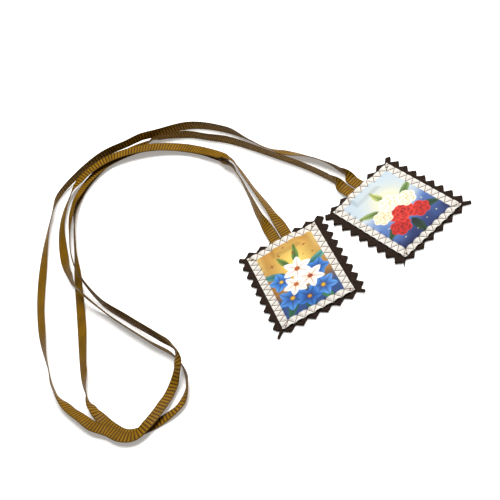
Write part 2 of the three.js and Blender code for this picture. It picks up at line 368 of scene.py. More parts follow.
class ScapularSizes(bpy.types.PropertyGroup):
    """Sizes that a user may change before the pieces are made."""

    ribbon_width: length_property("Ribbon width", "Width of the grosgrain ribbon, 3/16 inch", 4.8 * MM)
    ribbon_thickness: length_property("Ribbon thickness", "Thickness of the ribbon", 0.45 * MM)
    rib_pitch: length_property("Rib pitch", "Distance between two cross ribs of the ribbon", 1.5 * MM)
    rib_height: length_property("Rib height", "Height of a cross rib over its grooves", 0.10 * MM)
    cloth_thickness: length_property("Cloth thickness", "Thickness of the panels' cloth", 0.22 * MM)
    thread_diameter: length_property("Thread diameter", "Diameter of the sewing thread", 0.26 * MM)
    stitch_width: length_property("Stitch width", "Width of the zigzag stitch", 3.2 * MM)
    felt_voxel: length_property("Felt cell", "Size of the cells that the felt is formed from", 0.32 * MM)


class ScapularColours(bpy.types.PropertyGroup):
    """Colours that a user may change before the pieces are made."""

    felt: colour_property("Felt", "Dark brown wool felt", "#25180f")
    cloth: colour_property("Cloth", "White cloth of the panels", "#d6d1c8")
    ribbon: colour_property("Ribbon", "Golden brown grosgrain", "#7b5706")
    thread: colour_property("Thread", "Brown sewing thread", "#5c3c22")
    floor: colour_property("Floor", "Pale table", "#ecebe9")


def on_table(patch, along, up):
    """Places along a patch's width and up its height, as places on the table in the part's frame."""
    turn = math.radians(patch["turn"])
    x = patch["middle"][0] + along * math.cos(turn) - up * math.sin(turn)
    y = patch["middle"][1] + along * math.sin(turn) + up * math.cos(turn)
    return np.stack([x + TABLE_SHIFT[0], y + TABLE_SHIFT[1]], axis=-1)


def ease(share):
    """A share from 0 to 1 with a soft start and end."""
    held = np.clip(share, 0.0, 1.0)
    return held * held * (3 - 2 * held)


def add_node(tree, kind, inputs=None, **settings):
    """Adds a shader node with its settings. An input is a value or the socket that feeds it."""
    made = tree.nodes.new(kind)
    for name, value in settings.items():
        setattr(made, name, value)
    for name, value in (inputs or {}).items():
        if isinstance(value, bpy.types.NodeSocket):
            tree.links.new(value, made.inputs[name])
        else:
            made.inputs[name].default_value = value
    return made


def new_material(name):
    """An empty material, its node tree and its output node."""
    material = bpy.data.materials.new(name)
    material.use_nodes = True
    material.node_tree.nodes.clear()
    output = add_node(material.node_tree, "ShaderNodeOutputMaterial")
    return material, material.node_tree, output


def set_ramp(ramp, stops):
    """Gives a colour ramp its stops, each a place and a linear colour."""
    elements = ramp.color_ramp.elements
    while len(elements) < len(stops):
        elements.new(0.5)
    for element, (place, colour) in zip(elements, stops):
        element.position = place
        element.color = colour


def finish_piece(name, mesh, material):
    """Makes a piece of a finished mesh, smooth-shaded, riding on the part's one body."""
    mesh.materials.clear()
    mesh.materials.append(material)
    mesh.polygons.foreach_set("use_smooth", [True] * len(mesh.polygons))
    piece = bpy.data.objects.new(name, mesh)
    bpy.context.scene.collection.objects.link(piece)
    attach(piece, "root")
    return piece


def add_sweep(shape, places, marks=None):
    """Adds a closed tube to a bmesh: places holds a point for each ring and corner. marks gives
    each of them a place in the UV map, in metres along and across."""
    rings, corners = places.shape[:2]
    layer = shape.loops.layers.uv.active
    made = bmesh.ops.create_grid(
        shape, x_segments=rings - 1, y_segments=corners, size=1.0, calc_uvs=layer is not None,
    )
    if marks is not None:
        for face in {face for vertex in made["verts"] for face in vertex.link_faces}:
            for loop in face.loops:
                u, v = loop[layer].uv
                loop[layer].uv = marks[round(u * (rings - 1)), round(v * corners) % corners]
    for vertex in made["verts"]:
        ring = round((vertex.co.x + 1) / 2 * (rings - 1))
        corner = round((vertex.co.y + 1) / 2 * corners) % corners
        vertex.co = places[ring, corner]
    bmesh.ops.remove_doubles(shape, verts=made["verts"], dist=0.001 * MM)
    kept = [vertex for vertex in made["verts"] if vertex.is_valid]
    open_edges = {edge for vertex in kept for edge in vertex.link_edges if edge.is_boundary}
    bmesh.ops.holes_fill(shape, edges=list(open_edges), sides=0)


def closed_mesh(name, shape):
    """Turns a bmesh into a mesh whose faces point outwards."""
    bmesh.ops.recalc_face_normals(shape, faces=shape.faces[:])
    mesh = bpy.data.meshes.new(name)
    shape.to_mesh(mesh)
    shape.free()
    return mesh


def spline(points, shares):
    """The centripetal curve through a route's points, at shares of its rows."""
    first = 2 * points[0] - points[1]
    last = 2 * points[-1] - points[-2]
    line = np.vstack([first, points, last])
    rows = len(points) - 1
    row = np.minimum((shares * rows).astype(int), rows - 1)
    part = (shares * rows - row)[:, None]
    before, start, end, after = (line[row + step] for step in range(4))
    pairs = ((before, start), (start, end), (end, after))
    gap_in, gap, gap_out = (np.sqrt(np.linalg.norm(b - a, axis=1))[:, None] for a, b in pairs)
    leave = gap * ((start - before) / gap_in - (end - before) / (gap_in + gap) + (end - start) / gap)
    arrive = gap * ((end - start) / gap - (after - start) / (gap + gap_out) + (after - end) / gap_out)
    square = -3 * start + 3 * end - 2 * leave - arrive
    cube = 2 * start - 2 * end + leave + arrive
    return start + leave * part + square * part ** 2 + cube * part ** 3


def whole_route(table, side, last_roll):
    """A ribbon's route with the straight rows that carry its ends under the two panels."""
    free = [(x + TABLE_SHIFT[0], y + TABLE_SHIFT[1], lift, roll) for x, y, lift, roll in table]
    ends = []
    for name, roll in (("front", 0), ("back", last_roll)):
        patch = PATCHES[name]
        rows = []
        for up in (PANEL_HEIGHT / 2 - TAIL_UNDER_PANEL, PANEL_HEIGHT / 2 + TAIL_PAST_EDGE):
            x, y = on_table(patch, patch["ribbons"][side], up)
            rows.append((x, y, TAIL_LIFT, roll))
        ends.append(rows)
    return np.array([*ends[0], *free, *reversed(ends[1])])


def ribbon_lines(route, sizes, step):
    """Points at even steps along a ribbon's middle, with its directions across and out of its
    face, and the distance along it."""
    half_width = sizes.ribbon_width / 2
    half_thickness = sizes.ribbon_thickness / 2
    rows = len(route) - 1

    def middle(shares):
        row = np.minimum((shares * rows).astype(int), rows - 1)
        part = ease(shares * rows - row)
        roll = np.radians(route[row, 3] + (route[row + 1, 3] - route[row, 3]) * part)
        point = spline(route[:, :3], shares)
        reach = half_width * np.abs(np.sin(roll)) + half_thickness * np.abs(np.cos(roll))
        point[:, 2] = np.maximum(point[:, 2], 0) + reach
        return point, roll

    fine = np.linspace(0, 1, ROUTE_POINTS)
    walked = np.linalg.norm(np.diff(middle(fine)[0], axis=0), axis=1)
    distance = np.concatenate([[0], np.cumsum(walked)])
    count = round(distance[-1] / step)
    even = np.linspace(0, distance[-1], count + 1)
    shares = np.interp(even, distance, fine)
    ahead = middle(np.minimum(shares + ROUTE_NEAR, 1))[0]
    along = ahead - middle(np.maximum(shares - ROUTE_NEAR, 0))[0]
    along /= np.linalg.norm(along, axis=1)[:, None]
    left = np.stack([-along[:, 1], along[:, 0], np.zeros(len(along))], axis=1)
    left /= np.linalg.norm(left, axis=1)[:, None]
    points, roll = middle(shares)
    across = left * np.cos(roll)[:, None] + np.cross(along, left) * np.sin(roll)[:, None]
    return points, across, np.cross(along, across), even


def ribbon_piece(name, table, side, last_roll, material):
    """One grosgrain ribbon with its cross ribs, swept along its route."""
    sizes = bpy.context.scene.scapular_sizes
    route = whole_route(table, side, last_roll)
    points, across, out, distance = ribbon_lines(route, sizes, sizes.rib_pitch / STEPS_A_RIB)
    section = np.array(SECTION)
    half_width = sizes.ribbon_width / 2
    wave = 0.5 + 0.5 * np.cos(math.tau * distance / sizes.rib_pitch)
    plain = (sizes.ribbon_thickness / 2 - sizes.rib_height) * section[:, 1]
    raised = sizes.rib_height * np.sign(section[:, 1]) * section[:, 2]
    height = plain[None, :] + wave[:, None] * raised[None, :]
    places = (
        points[:, None, :]
        + across[:, None, :] * (section[:, 0] * half_width)[None, :, None]
        + out[:, None, :] * height[:, :, None]
    )
    marks = np.stack(np.broadcast_arrays(distance[:, None], section[None, :, 0] * half_width), axis=-1)
    shape = bmesh.new()
    shape.loops.layers.uv.new("cut")
    add_sweep(shape, places, marks)
    piece = finish_piece(name + "_cloth", closed_mesh(name, shape), material)
    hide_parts(name)


def crossing(a, b, c, d):
    """Where two short lines cross, or None."""
    ab, cd, ac = b - a, d - c, c - a
    turn = ab[0] * cd[1] - ab[1] * cd[0]
    first = (ac[0] * cd[1] - ac[1] * cd[0]) / turn
    second = (ac[0] * ab[1] - ac[1] * ab[0]) / turn
    return a + ab * first if 0 <= first <= 1 and 0 <= second <= 1 else None


def pinked_outline(patch):
    """The felt's outline: four zigzag cuts, each ended where it meets the next one."""
    lines = []
    for turn, (margin, start, _) in enumerate(patch["sides"]):
        length, depth = (PANEL_WIDTH, PANEL_HEIGHT) if turn % 2 == 0 else (PANEL_HEIGHT, PANEL_WIDTH)
        tips = np.arange(start - 2 * TOOTH_PITCH, length + 2 * TOOTH_PITCH, TOOTH_PITCH)
        rows = []
        for tip in tips:
            rows.append((tip - length / 2, -depth / 2 - margin))
            rows.append((tip - length / 2 + TOOTH_PITCH / 2, -depth / 2 - margin + TOOTH_DEPTH))
        angle = turn * math.pi / 2
        spin = np.array([[math.cos(angle), math.sin(angle)], [-math.sin(angle), math.cos(angle)]])
        lines.append(np.array(rows) @ spin)
    cuts = []
    for index, line in enumerate(lines):
        other = lines[(index + 1) % 4]
        found = None
        for i in range(len(line) - 1):
            for j in range(len(other) - 1):
                point = crossing(line[i], line[i + 1], other[j], other[j + 1])
                if point is not None and found is None:
                    found = (point, i, j + 1)
        if found is None:
            raise RuntimeError("Two pinked sides never meet")
        cuts.append(found)
    outline = []
    for index, line in enumerate(lines):
        outline.append(cuts[index - 1][0])
        outline.extend(line[cuts[index - 1][2]:cuts[index][1] + 1])
    return np.array(outline)


def baked(piece_mesh, modifier_kind, **settings):
    """A mesh with one modifier applied."""
    helper = bpy.data.objects.new("helper", piece_mesh)
    bpy.context.scene.collection.objects.link(helper)
    modifier = helper.modifiers.new("shape", modifier_kind)
    for name, value in settings.items():
        setattr(modifier, name, value)
    graph = bpy.context.evaluated_depsgraph_get()
    mesh = bpy.data.meshes.new_from_object(helper.evaluated_get(graph))
    bpy.data.objects.remove(helper)
    return mesh


def felt_piece(name, patch, material):
    """One felt patch with its pinked edge, softened as cut wool is and uneven all over."""
    sizes = bpy.context.scene.scapular_sizes
    outline = pinked_outline(patch)
    shape = bmesh.new()
    corners = [shape.verts.new((*place, FELT_GROOVE)) for place in on_table(patch, *outline.T)]
    bottom = shape.faces.new(corners)
    made = bmesh.ops.extrude_face_region(shape, geom=[bottom])
    raised = [item for item in made["geom"] if isinstance(item, bmesh.types.BMVert)]
    bmesh.ops.translate(shape, verts=raised, vec=(0, 0, FELT_THICKNESS - FELT_GROOVE))
    cut = closed_mesh(name, shape)
    mesh = baked(cut, "REMESH", mode="VOXEL", voxel_size=sizes.felt_voxel, adaptivity=0.0)
    places = np.empty((len(mesh.vertices), 3), dtype=np.float32)
    normals = np.empty_like(places)
    mesh.vertices.foreach_get("co", places.ravel())
    mesh.vertex_normals.foreach_get("vector", normals.ravel())
    wool = np.array([noise.noise_vector(Vector(place) / FELT_LUMP) for place in places]) * FELT_RISE
    fuzz = np.array([noise.noise(Vector(place) / FELT_FUZZ) for place in places]) * FELT_RISE
    places += normals * (wool[:, :1] + fuzz[:, None])
    places[:, :2] += wool[:, 1:] * FELT_SHIFT
    places[:, 2] = np.maximum(places[:, 2], FELT_LOWEST)
    mesh.vertices.foreach_set("co", places.ravel())
    mesh.update()
    piece = finish_piece(name + "_wool", mesh, material)
    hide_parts(name)


def stitch_legs(patch, sizes):
    """The zigzag's legs round a panel, each as two needle holes, along and up the patch."""
    holes = []
    draw = np.random.default_rng(STITCH_SEED)
    for turn, (_, _, pitch) in enumerate(patch["sides"]):
        length, depth = (PANEL_WIDTH, PANEL_HEIGHT) if turn % 2 == 0 else (PANEL_HEIGHT, PANEL_WIDTH)
        run = length - 2 * STITCH_CORNER
        count = round(run / pitch)
        angle = turn * math.pi / 2
        for half in range(2 * count + 1):
            along = -run / 2 + run * half / (2 * count) + draw.normal(0, STITCH_STRAY)
            deep = STITCH_INSET
            if half % 2 == 1:
                deep = sizes.stitch_width + draw.normal(0, STITCH_STRAY)
            up = -depth / 2 + deep
            holes.append((
                along * math.cos(angle) - up * math.sin(angle),
                along * math.sin(angle) + up * math.cos(angle),
            ))
    legs = [(a, b) for a, b in zip(holes, holes[1:] + holes[:1])]
    for x, y in ((-1, -1), (1, -1), (1, 1), (-1, 1)):
        half_size = np.array([PANEL_WIDTH, PANEL_HEIGHT]) / 2 - CORNER_INSET
        corner = half_size * (x, y)
        for _ in range(CORNER_STITCHES):
            turn = draw.uniform(0, math.pi)
            reach = np.array([math.cos(turn), math.sin(turn)]) * CORNER_REACH
            middle = corner + draw.normal(0, CORNER_STRAY, 2)
            legs.append((tuple(middle - reach), tuple(middle + reach)))
    return np.array(legs)


def leg_distance(places, legs):
    """How far each place lies from the nearest stitch leg."""
    nearest = np.full(len(places), 1.0)
    for start, end in legs:
        line = end - start
        share = np.clip((places - start) @ line / (line @ line), 0, 1)
        gap = np.linalg.norm(places - start - share[:, None] * line, axis=1)
        nearest = np.minimum(nearest, gap)
    return nearest


def hole_share(places, legs):
    """How much of each place a brown needle hole of the zigzag takes."""
    nearest = np.full(len(places), 1.0)
    for hole in legs[:-4 * CORNER_STITCHES, 0]:
        nearest = np.minimum(nearest, np.linalg.norm(places - hole, axis=1))
    return 1 - ease((nearest - HOLE_RADIUS) / HOLE_RIM)


def panel_height(patch, places, legs, sizes):
    """Height of the panel's upper face above the table: it lies on the felt, swells over the
    ribbon ends, puffs between the stitches and dips where the thread holds it."""
    along, up = places.T
    base = FELT_THICKNESS + PANEL_CLEARANCE + sizes.cloth_thickness
    middle = sum(patch["ribbons"]) / 2
    beside = np.abs(along - middle) - sizes.ribbon_width - PANEL_BESIDE_RIBBON
    below = PANEL_HEIGHT / 2 - TAIL_UNDER_PANEL - up
    away = np.maximum(np.maximum(beside, below), 0)
    swell = (sizes.ribbon_thickness + PANEL_OVER_RIBBON) * (1 - ease(away / PANEL_FALL))
    puff = PANEL_PUFF * ease(leg_distance(places, legs) / PANEL_PUFF_REACH)
    lower = ease((-up - PANEL_HEIGHT / 2 + PANEL_LOWER_EDGE) / PANEL_LOWER_FADE)
    puff *= 1 + PANEL_LOWER_PUFF * lower
    waves = [noise.noise(Vector((x, y, 0)) / PANEL_RIPPLE_SIZE) for x, y in places]
    ripple = np.array(waves) * PANEL_RIPPLE
    return base + swell + puff + ripple


def blend(canvas, colour, cover):
    """Lays a colour, or an array of them, over a canvas where cover says."""
    canvas += (np.asarray(colour)[..., :3] - canvas) * cover[..., None]


def between(first, second, share):
    """Colours from a first to a second by an array of shares."""
    first, second = (np.array(to_linear(code)[:3]) for code in (first, second))
    return first + (second - first) * np.clip(share, 0, 1)[..., None]


def paint_petal(canvas, x, y, row):
    """One petal or leaf, drawn out of its root and darker along its middle vein."""
    middle_x, middle_y, length, width, turn, root, tip = row
    angle = math.radians(turn)
    along = ((x - middle_x) * math.cos(angle) + (y - middle_y) * math.sin(angle)) / length
    side = (-(x - middle_x) * math.sin(angle) + (y - middle_y) * math.cos(angle)) / width
    inside = np.clip(along, 0, 1)
    half = 0.5 * np.sin(math.pi * inside ** 0.8) ** 0.8
    cover = np.clip(0.5 - (np.abs(side) - half) * width / PRINT_SOFT, 0, 1)
    cover *= (along > 0) & (along < 1)
    vein = 1 - 0.35 * np.exp(-(side * width / 0.35) ** 2) + 0.18 * np.abs(side)
    blend(canvas, between(root, tip, inside ** 0.8) * vein[..., None], cover)


def paint_flower(canvas, x, y, row):
    """A flower of even petals round a small heart."""
    middle_x, middle_y, petals, length, width, first, root, tip, heart = row
    for step in range(petals):
        turn = first + step * 360 / petals
        paint_petal(canvas, x, y, (middle_x, middle_y, length, width, turn, root, tip))
    distance = np.hypot(x - middle_x, y - middle_y)
    cover = np.clip(0.5 - (distance - length * 0.17) / PRINT_SOFT, 0, 1)
    blend(canvas, between(heart, "#6d3a12", distance / (length * 0.3)), cover)


def paint_rose(canvas, x, y, row):
    """A rose as rings of round petals, each darker at its heart and light at its rim."""
    middle_x, middle_y, radius, dark, light = row
    for ring, (reach, size, petals) in enumerate(ROSE_RINGS):
        for step in range(petals):
            angle = math.tau * (step / petals + 0.13 * ring)
            centre_x = middle_x + reach * radius * math.cos(angle)
            centre_y = middle_y + reach * radius * math.sin(angle)
            distance = np.hypot(x - centre_x, y - centre_y) / (size * radius)
            cover = np.clip(0.5 - (distance - 1) * size * radius / PRINT_SOFT, 0, 1)
            blend(canvas, between(dark, light, distance ** 2.2 * 0.9 + 0.05), cover)


def paint_star(canvas, x, y, row, colour):
    """A small four-pointed star."""
    middle_x, middle_y, radius = row
    reach = np.sqrt(np.abs(x - middle_x)) + np.sqrt(np.abs(y - middle_y))
    cover = np.clip((math.sqrt(radius) - reach) * 3, 0, 1)
    blend(canvas, to_linear(colour), cover)


def cloud(x, y, size, seed):
    """Soft blotches from -1 to 1, of about a given size in millimetres."""
    return np.array([noise.noise(Vector((a / size, b / size, seed))) for a, b in zip(x, y)])


def paint_front(x, y):
    """The front print: blue and white flowers on a gold ground with small stars."""
    share = (y + PANEL_HEIGHT / 2 / MM) / (PANEL_HEIGHT / MM)
    canvas = between("#9a7238", "#c7a262", share + 0.35 * cloud(x, y, 5, 3.0))
    glow = np.exp(-(np.hypot(x - 1.0, (y - 7.0) * 0.85) / 9.5) ** 2)
    blend(canvas, to_linear("#ecd992"), np.clip(0.95 * glow, 0, 1))
    pale = ease((np.abs(x) - 9.5) / 3.5) * ease((y - 2) / 14)
    blend(canvas, to_linear("#dccb95"), 0.75 * pale)
    shade = ease((-4 - y + 2.5 * cloud(x, y, 4, 9.0)) / 9)
    blend(canvas, to_linear("#2f6ea6"), 0.85 * shade)
    for row in FRONT_LEAVES:
        paint_petal(canvas, x, y, row)
    for row in FRONT_FLOWERS:
        paint_flower(canvas, x, y, row)
    for row in FRONT_STARS:
        paint_star(canvas, x, y, row, "#a8651e")
    return canvas ** PRINT_DEPTH


def paint_back(x, y):
    """The back print: red and cream roses on a sky that deepens to blue."""
    share = (y + PANEL_HEIGHT / 2 / MM) / (PANEL_HEIGHT / MM) + 0.14 * cloud(x, y, 7, 5.0)
    canvas = between("#27386f", "#7f9cc8", share / 0.42)
    blend(canvas, to_linear("#cbd4da"), ease((share - 0.34) / 0.3))
    glow = np.exp(-(np.hypot(x - 1.0, (y - 5.5)) / 8.0) ** 2)
    blend(canvas, to_linear("#f0e6c4"), 0.9 * glow)
    for row in BACK_LEAVES:
        paint_petal(canvas, x, y, row)
    for row in BACK_ROSES:
        paint_rose(canvas, x, y, row)
    for row in BACK_STARS:
        paint_star(canvas, x, y, row, "#e9e3b4")
    return canvas ** PRINT_DEPTH


def panel_piece(name, patch, paint, material):
    """One cloth panel: a thin shell with its print held as a colour for each point."""
    sizes = bpy.context.scene.scapular_sizes
    legs = stitch_legs(patch, sizes)
    shape = bmesh.new()
    shape.loops.layers.uv.new("cut")
    ink = shape.verts.layers.float_color.new("print")
    columns = round(PANEL_WIDTH / PANEL_CELL)
    rows = round(PANEL_HEIGHT / PANEL_CELL)
    bmesh.ops.create_grid(shape, x_segments=columns, y_segments=rows, size=1.0, calc_uvs=True)
    cut = np.array([(vertex.co.x, vertex.co.y) for vertex in shape.verts]) / 2
    places = cut * (PANEL_WIDTH, PANEL_HEIGHT)
    height = panel_height(patch, places, legs, sizes)
    canvas = paint(*(places / MM).T)
    edge = np.array([PANEL_WIDTH, PANEL_HEIGHT]) / 2 - np.abs(places)
    cover = ease((edge.min(axis=1) - patch["border"]) / PRINT_EDGE)
    holes = hole_share(places, legs)
    blend(canvas, to_linear(HOLE_COLOUR), holes)
    cover = np.maximum(cover, holes)
    spots = on_table(patch, *places.T)
    for vertex, spot, rise, colour, share in zip(shape.verts, spots, height, canvas, cover):
        fray = noise.noise_vector(Vector((*spot, 0)) / PANEL_FRAY_SIZE) * PANEL_FRAY
        vertex.co = (spot[0] + fray.x, spot[1] + fray.y, rise)
        vertex[ink] = (*colour, share)
    for face in shape.faces:
        for loop in face.loops:
            loop[shape.loops.layers.uv.active].uv *= Vector((PANEL_WIDTH, PANEL_HEIGHT))
    mesh = bpy.data.meshes.new(name)
    shape.to_mesh(mesh)
    shape.free()
    piece = finish_piece(name + "_cloth", mesh, material)
    wall = piece.modifiers.new("thickness", "SOLIDIFY")
    wall.thickness = sizes.cloth_thickness
    wall.offset = -1
    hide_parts(name)


def thread_piece(name, patch, material):
    """The zigzag stitching of one patch: the top thread over the cloth and the lower thread
    pressed into the felt's underside."""
    sizes = bpy.context.scene.scapular_sizes
    legs = stitch_legs(patch, sizes)
    radius = sizes.thread_diameter / 2
    shares = np.linspace(0, 1, THREAD_STEPS)
    dive = STITCH_DIVE * (1 - ease(np.minimum(shares, 1 - shares) / STITCH_DIVE_SHARE))
    corners = np.arange(THREAD_SIDES) * math.tau / THREAD_SIDES
    shape = bmesh.new()
    for start, end in legs:
        places = start + shares[:, None] * (end - start)
        top = panel_height(patch, places, legs, sizes) + radius * THREAD_STANDS_OUT - dive
        under = np.full(THREAD_STEPS, FELT_GROOVE) + dive / 2
        spots = on_table(patch, *places.T)
        line = spots[-1] - spots[0]
        side = np.array([-line[1], line[0]]) / np.linalg.norm(line)
        for height, thick in ((top, radius), (under, min(radius, FELT_GROOVE))):
            across = np.cos(corners) * thick
            rise = np.sin(corners) * thick
            flat = spots[:, None, :] + side[None, None, :] * across[None, :, None]
            level = height[:, None] + rise[None, :]
            add_sweep(shape, np.concatenate([flat, level[:, :, None]], axis=2))
    finish_piece(name, closed_mesh(name, shape), material)


def felt_material(colours):
    """Wool felt, pressed and dyed dark brown: quite matt, mottled by its fibres, with a faint
    halo of nap where it turns away. The fibres are drawn ten times as coarse as wool, so that
    they show."""
    material, tree, output = new_material("wool felt, dark brown")
    spot = add_node(tree, "ShaderNodeTexCoord").outputs["Object"]
    mottle = add_node(tree, "ShaderNodeTexNoise", {
        "Vector": spot, "Scale": 700.0, "Detail": 6.0, "Roughness": 0.7,
    })
    tone = add_node(tree, "ShaderNodeValToRGB", {"Fac": mottle.outputs["Fac"]})
    dark, pale = (shaded(colours.felt, share) for share in (0.45, 2.2))
    set_ramp(tone, ((0.3, dark), (0.55, tuple(colours.felt)), (0.8, pale)))
    heights = []
    for turn in (0.4, 1.9):
        spun = add_node(tree, "ShaderNodeMapping", {
            "Vector": spot, "Rotation": (0, 0, turn), "Scale": (1, 0.16, 1),
        })
        fibre = add_node(tree, "ShaderNodeTexNoise", {
            "Vector": spun.outputs["Vector"], "Scale": 3200.0, "Detail": 3.0,
        })
        heights.append(fibre.outputs["Fac"])
    nap = add_node(tree, "ShaderNodeMath", {0: heights[0], 1: heights[1]}, operation="MAXIMUM")
    bump = add_node(tree, "ShaderNodeBump", {
        "Height": nap.outputs["Value"], "Strength": 0.8, "Distance": 0.15 * MM,
    })
    surface = add_node(tree, "ShaderNodeBsdfPrincipled", {
        "Base Color": tone.outputs["Color"], "Normal": bump.outputs["Normal"], "Roughness": 0.95,
        "Specular IOR Level": 0.2, "Sheen Weight": 0.15, "Sheen Roughness": 0.6,
        "Sheen Tint": shaded(colours.felt, 3.0),
    })
    tree.links.new(surface.outputs["BSDF"], output.inputs["Surface"])
    return material


def cloth_material(colours):
    """Printed white satin-weave cotton: a smooth, fairly matt cloth whose ink sinks into the
    threads, with the weave drawn at 0.5 mm, twice its real size, so that it shows."""
    material, tree, output = new_material("printed cotton, white ground")
    cut = add_node(tree, "ShaderNodeTexCoord").outputs["UV"]
    spot = add_node(tree, "ShaderNodeTexCoord").outputs["Object"]
    threads = []
    for direction in ("X", "Y"):
        wave = add_node(tree, "ShaderNodeTexWave", {
            "Vector": cut, "Scale": math.tau / 20 / (0.5 * MM), "Distortion": 0.6,
            "Detail": 1.0, "Detail Scale": 2.0,
        }, wave_type="BANDS", bands_direction=direction)
        threads.append(wave.outputs["Fac"])
    weave = add_node(tree, "ShaderNodeMath", {0: threads[0], 1: threads[1]}, operation="MULTIPLY")
    ink = add_node(tree, "ShaderNodeAttribute", attribute_name="print")
    soil = add_node(tree, "ShaderNodeTexNoise", {"Vector": spot, "Scale": 260.0, "Detail": 4.0})
    ground = add_node(tree, "ShaderNodeValToRGB", {"Fac": soil.outputs["Fac"]})
    set_ramp(ground, ((0.3, shaded(colours.cloth, 0.93)), (0.7, tuple(colours.cloth))))
    sunk = add_node(tree, "ShaderNodeMapRange", {
        "Value": weave.outputs["Value"], "To Min": 1.06, "To Max": 0.9,
    })
    printed = add_node(tree, "ShaderNodeVectorMath", {
        0: ink.outputs["Color"], "Scale": sunk.outputs["Result"],
    }, operation="SCALE")
    face = add_node(tree, "ShaderNodeMix", {
        0: ink.outputs["Alpha"], 6: ground.outputs["Color"], 7: printed.outputs["Vector"],
    }, data_type="RGBA")
    bump = add_node(tree, "ShaderNodeBump", {
        "Height": weave.outputs["Value"], "Strength": 0.35, "Distance": 0.06 * MM,
    })
    surface = add_node(tree, "ShaderNodeBsdfPrincipled", {
        "Base Color": face.outputs[2], "Normal": bump.outputs["Normal"], "Roughness": 0.7,
        "Specular IOR Level": 0.3, "Sheen Weight": 0.08,
    })
    tree.links.new(surface.outputs["BSDF"], output.inputs["Surface"])
    return material


def ribbon_material(colours, sizes):
    """Polyester grosgrain with cross ribs: a soft gloss on each rib, painted shade in the grooves
    between the ribs, and dense plain selvedges. The ribs and the warp threads at 0.3 mm are drawn
    a little coarser than real ones, so that they show."""
    material, tree, output = new_material("grosgrain ribbon, brown")
    cut = add_node(tree, "ShaderNodeTexCoord").outputs["UV"]
    spot = add_node(tree, "ShaderNodeTexCoord").outputs["Object"]
    along = add_node(tree, "ShaderNodeSeparateXYZ", {"Vector": cut})
    angle = add_node(tree, "ShaderNodeMath", {
        0: along.outputs["X"], 1: math.tau / sizes.rib_pitch,
    }, operation="MULTIPLY")
    wave = add_node(tree, "ShaderNodeMath", {0: angle.outputs["Value"]}, operation="COSINE")
    side = add_node(tree, "ShaderNodeMath", {0: along.outputs["Y"]}, operation="ABSOLUTE")
    half = sizes.ribbon_width / 2
    selvedge = add_node(tree, "ShaderNodeMapRange", {
        "Value": side.outputs["Value"], "From Min": half * 0.74, "From Max": half * 0.9,
    })
    # Share of the rib colour across each rib: 0 deep in a groove, where the painted shade takes over
    rib = add_node(tree, "ShaderNodeMapRange", {
        "Value": wave.outputs["Value"], "From Min": -1.0, "From Max": 0.1,
    })
    worn = add_node(tree, "ShaderNodeTexNoise", {
        "Vector": spot, "Scale": 160.0, "Detail": 5.0, "Roughness": 0.65,
    })
    tone = add_node(tree, "ShaderNodeValToRGB", {"Fac": worn.outputs["Fac"]})
    set_ramp(tone, ((0.3, shaded(colours.ribbon, 0.8)), (0.7, shaded(colours.ribbon, 1.3))))
    # Painted shade: the grooves between the ribs are darkened to 0.12 of the ribbon's colour
    ribs_with_painted_groove_shade = add_node(tree, "ShaderNodeMix", {
        0: rib.outputs["Result"], 6: shaded(colours.ribbon, 0.12), 7: tone.outputs["Color"],
    }, data_type="RGBA")
    edged = add_node(tree, "ShaderNodeMix", {
        0: selvedge.outputs["Result"], 6: ribs_with_painted_groove_shade.outputs[2], 7: shaded(colours.ribbon, 0.5),
    }, data_type="RGBA")
    warp = add_node(tree, "ShaderNodeTexWave", {
        "Vector": cut, "Scale": math.tau / 20 / (0.3 * MM), "Distortion": 0.4,
    }, wave_type="BANDS", bands_direction="Y")
    bump = add_node(tree, "ShaderNodeBump", {
        "Height": warp.outputs["Fac"], "Strength": 0.4, "Distance": 0.04 * MM,
    })
    surface = add_node(tree, "ShaderNodeBsdfPrincipled", {
        "Base Color": edged.outputs[2], "Normal": bump.outputs["Normal"], "Roughness": 0.5,
        "Specular IOR Level": 0.1,
    })
    tree.links.new(surface.outputs["BSDF"], output.inputs["Surface"])
    return material


def thread_material(colours):
    """Spun polyester sewing thread: two plies twisted, with a faint gloss."""
    material, tree, output = new_material("sewing thread, brown")
    spot = add_node(tree, "ShaderNodeTexCoord").outputs["Object"]
    ply = add_node(tree, "ShaderNodeTexWave", {
        "Vector": spot, "Scale": math.tau / 20 / (0.4 * MM), "Distortion": 1.0,
    }, wave_type="BANDS", bands_direction="DIAGONAL")
    tone = add_node(tree, "ShaderNodeValToRGB", {"Fac": ply.outputs["Fac"]})
    set_ramp(tone, ((0.0, shaded(colours.thread, 0.5)), (1.0, shaded(colours.thread, 1.5))))
    bump = add_node(tree, "ShaderNodeBump", {
        "Height": ply.outputs["Fac"], "Strength": 0.5, "Distance": 0.05 * MM,
    })
    surface = add_node(tree, "ShaderNodeBsdfPrincipled", {
        "Base Color": tone.outputs["Color"], "Normal": bump.outputs["Normal"], "Roughness": 0.6,
    })
    tree.links.new(surface.outputs["BSDF"], output.inputs["Surface"])
    return material


def floor_material(colours):
    """Matt white acrylic over a light box, as product photos use for a clear white ground."""
    material, tree, output = new_material("matt white acrylic, lit from below")
    surface = add_node(tree, "ShaderNodeBsdfPrincipled", {
        "Base Color": tuple(colours.floor), "Roughness": 0.9, "Specular IOR Level": 0.1,
        "Emission Color": tuple(colours.floor), "Emission Strength": FLOOR_GLOW,
    })
    tree.links.new(surface.outputs["BSDF"], output.inputs["Surface"])
    return material


